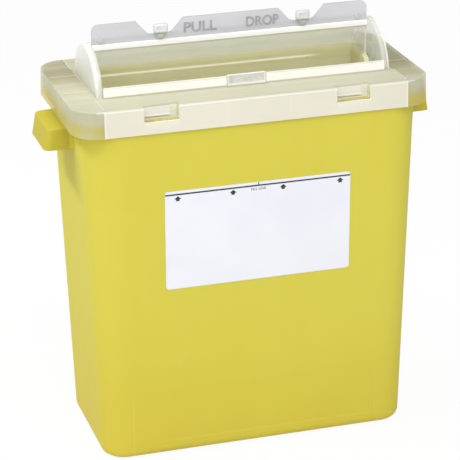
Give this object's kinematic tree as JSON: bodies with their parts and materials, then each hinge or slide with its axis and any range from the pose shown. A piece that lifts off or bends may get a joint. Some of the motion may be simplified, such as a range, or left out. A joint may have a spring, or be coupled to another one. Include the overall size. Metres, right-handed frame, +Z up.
{
  "type": "sharps container",
  "caption": "Upright drafted yellow sharps bin with a translucent press-on lid, a half-round hood and a rotating drop tray turned by a pull flap.",
  "frame": {"origin": "centre of the foot, on the surface that the container stands on", "axes": "+X to the right along the tray's turning axis, +Y towards the back, +Z up"},
  "size_m": [0.36, 0.1664, 0.3917],
  "materials": {
    "yellow_body": "satin translucent polypropylene",
    "natural_lid": "natural polypropylene, satin",
    "clear_hood": "clarified polypropylene, glossy",
    "clear_tray": "clarified polypropylene, glossy",
    "frosted_flap": "frosted polypropylene",
    "clear_stud": "clear polypropylene, polished",
    "label_film": "white vinyl film"
  },
  "bodies": {
    "base": {"container_base": "yellow_body", "handle_left": "yellow_body", "handle_right": "yellow_body", "front_label": "label_film"},
    "lid_unit": {"lid": "natural_lid", "latch_front_left": "natural_lid", "latch_front_right": "natural_lid", "latch_rear_left": "natural_lid", "latch_rear_right": "natural_lid", "hood_cover": "clear_hood", "hood_end_left": "clear_hood", "hood_end_right": "clear_hood"},
    "tray_unit": {"drop_tray": "clear_tray", "pull_flap": "frosted_flap", "flap_stakes": "clear_stud", "lock_stud_left": "clear_stud", "lock_stud_right": "clear_stud", "pivot_pin_left": "clear_tray", "pivot_pin_right": "clear_tray"},
    "catch": {"front_catch": "clear_stud"}
  },
  "joints": [
    {"name": "lid_lift", "type": "slide", "parent": "base", "child": "lid_unit", "axis": [0, 0, 1], "range_m": [0, 0.06]},
    {"name": "tray_turn", "type": "hinge", "parent": "lid_unit", "child": "tray_unit", "pos_m": [0, 0, 0.3315], "axis": [1, 0, 0], "range_deg": [0, 62]},
    {"name": "catch_flex", "type": "hinge", "parent": "lid_unit", "child": "catch", "pos_m": [0, -0.0451, 0.3386], "axis": [1, 0, 0], "range_deg": [0, 8], "stiffness_Nm_per_rad": 0.3}
  ]
}
